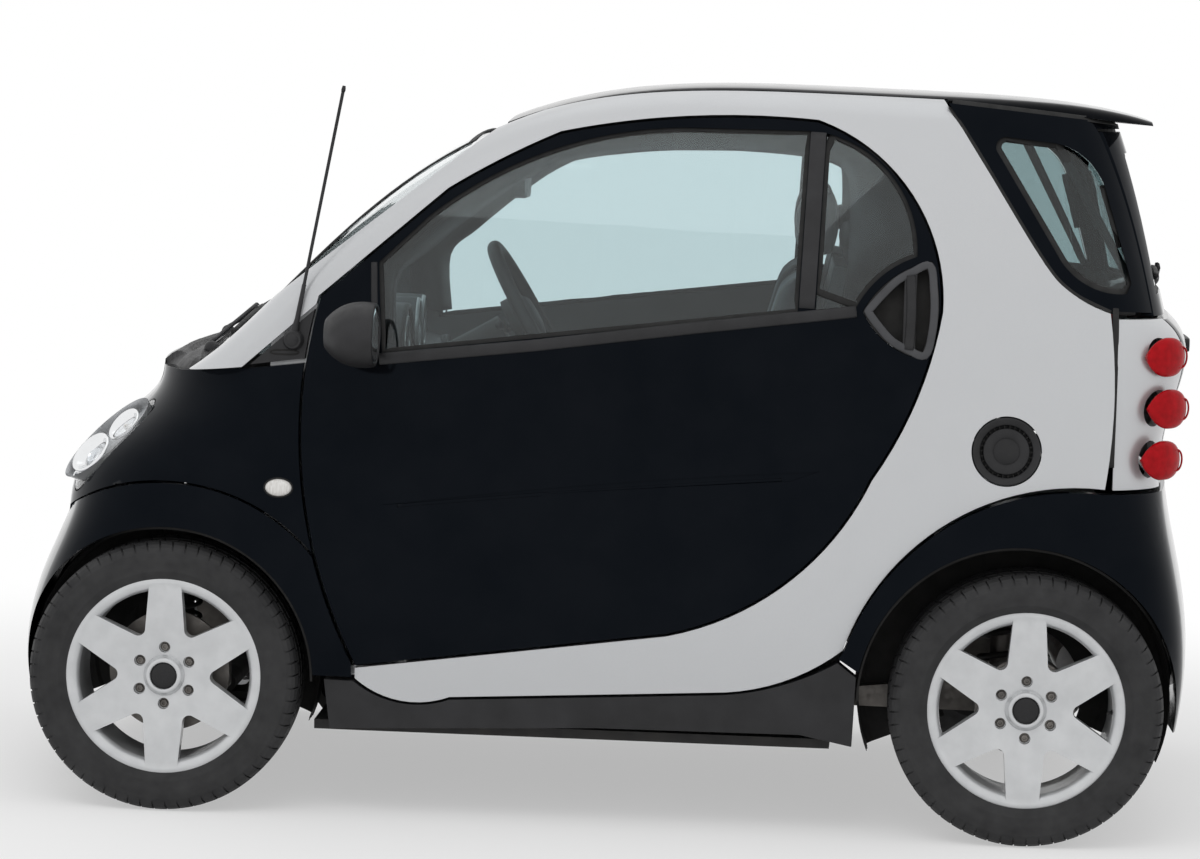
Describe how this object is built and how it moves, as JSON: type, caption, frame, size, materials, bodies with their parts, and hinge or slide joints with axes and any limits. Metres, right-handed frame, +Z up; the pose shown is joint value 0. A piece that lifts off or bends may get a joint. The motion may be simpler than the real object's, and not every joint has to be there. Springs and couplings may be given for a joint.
{
  "type": "two-seat city car",
  "caption": "Small two-seat car with a silver safety cell, black panels, hinged doors, split rear hatch, steered front wheels and spoked alloy wheels.",
  "frame": {"origin": "on the ground, on the centre plane, half way between the axles", "axes": "+X to the rear, +Y to the car's right, +Z up"},
  "size_m": [2.5659, 1.8652, 1.5729],
  "materials": {
    "black_paint": "gloss",
    "silver_paint": "satin",
    "black_plastic": "matte",
    "grey_plastic": "matte",
    "tinted_glass": "gloss",
    "lamp_clear": "gloss",
    "lamp_red": "gloss",
    "alloy": "satin",
    "tyre": "matte",
    "iron": "satin",
    "steel": "satin",
    "chassis": "satin",
    "seat_fabric": "matte",
    "liner": "matte"
  },
  "bodies": {
    "body": {"air_intake": "black_plastic", "antenna": "black_plastic", "arch_liners": "liner", "cowl": "black_plastic", "dashboard": "grey_plastic", "engine_block": "iron", "exhaust_silencer": "steel", "filler_ring": "silver_paint", "floor_pan": "chassis", "front_bumper": "black_paint", "front_struts": "chassis", "front_subframe": "chassis", "front_wings": "black_paint", "grille": "black_plastic", "head_restraints": "seat_fabric", "headlamp_housings": "grey_plastic", "headlamp_lenses": "lamp_clear", "interior_mirror": "black_plastic", "lamp_carriers": "silver_paint", "quarter_glass": "tinted_glass", "quarter_panels": "black_paint", "rear_axle": "iron", "rear_bumper": "black_paint", "roof_panel": "black_paint", "safety_cell": "silver_paint", "seat_pads": "seat_fabric", "seat_shells": "grey_plastic", "service_panel": "black_paint", "sill_skirts": "black_plastic", "steering_column": "black_plastic", "tail_lamps": "lamp_red", "windscreen": "tinted_glass"},
    "door_left": {"door_left": "black_paint", "door_glass_left": "tinted_glass", "door_handle_left": "black_plastic", "door_mirror_left": "black_plastic"},
    "knuckle_left": {"knuckle_left": "iron"},
    "front_wheel_left": {"front_rim_left": "alloy", "front_tyre_left": "tyre"},
    "rear_wheel_left": {"rear_rim_left": "alloy", "rear_tyre_left": "tyre"},
    "door_right": {"door_right": "black_paint", "door_glass_right": "tinted_glass", "door_handle_right": "black_plastic", "door_mirror_right": "black_plastic"},
    "knuckle_right": {"knuckle_right": "iron"},
    "front_wheel_right": {"front_rim_right": "alloy", "front_tyre_right": "tyre"},
    "rear_wheel_right": {"rear_rim_right": "alloy", "rear_tyre_right": "tyre"},
    "hatch": {"hatch_frame": "black_paint", "hatch_glass": "tinted_glass"},
    "tailgate": {"tailgate": "black_paint"},
    "steering_wheel": {"steering_wheel": "black_plastic"},
    "fuel_flap": {"fuel_flap": "silver_paint"}
  },
  "joints": [
    {"name": "door_left_hinge", "type": "hinge", "parent": "body", "child": "door_left", "pos_m": [-0.626, -0.74, 0.79], "axis": [0, 0, -1], "range_deg": [0, 65]},
    {"name": "steer_left", "type": "hinge", "parent": "body", "child": "knuckle_left", "pos_m": [-0.906, -0.616, 0.287], "axis": [0, 0, 1], "range_deg": [-30, 30]},
    {"name": "front_wheel_left_spin", "type": "hinge", "parent": "knuckle_left", "child": "front_wheel_left", "pos_m": [-0.906, -0.636, 0.287], "axis": [0, 1, 0], "continuous": true},
    {"name": "rear_wheel_left_spin", "type": "hinge", "parent": "body", "child": "rear_wheel_left", "pos_m": [0.906, -0.655, 0.287], "axis": [0, 1, 0], "continuous": true},
    {"name": "door_right_hinge", "type": "hinge", "parent": "body", "child": "door_right", "pos_m": [-0.626, 0.74, 0.79], "axis": [0, 0, 1], "range_deg": [0, 65]},
    {"name": "steer_right", "type": "hinge", "parent": "body", "child": "knuckle_right", "pos_m": [-0.906, 0.616, 0.287], "axis": [0, 0, 1], "range_deg": [-30, 30]},
    {"name": "front_wheel_right_spin", "type": "hinge", "parent": "knuckle_right", "child": "front_wheel_right", "pos_m": [-0.906, 0.636, 0.287], "axis": [0, 1, 0], "continuous": true},
    {"name": "rear_wheel_right_spin", "type": "hinge", "parent": "body", "child": "rear_wheel_right", "pos_m": [0.906, 0.655, 0.287], "axis": [0, 1, 0], "continuous": true},
    {"name": "hatch_hinge", "type": "hinge", "parent": "body", "child": "hatch", "pos_m": [1.138, 0, 1.504], "axis": [0, -1, 0], "range_deg": [0, 85]},
    {"name": "tailgate_hinge", "type": "hinge", "parent": "body", "child": "tailgate", "pos_m": [1.226, 0, 0.75], "axis": [0, 1, 0], "range_deg": [0, 90]},
    {"name": "steering_wheel_turn", "type": "hinge", "parent": "body", "child": "steering_wheel", "pos_m": [-0.175, -0.325, 1.048], "axis": [0.866, 0, 0.5], "range_deg": [-481, 481]},
    {"name": "fuel_flap_hinge", "type": "hinge", "parent": "body", "child": "fuel_flap", "pos_m": [0.787, 0.7245, 0.827], "axis": [0, 0, 1], "range_deg": [0, 100]}
  ],
  "couplings": [
    {"joint": "steer_right", "follows": "steer_left", "ratio": 1},
    {"joint": "steering_wheel_turn", "follows": "steer_left", "ratio": 16}
  ]
}
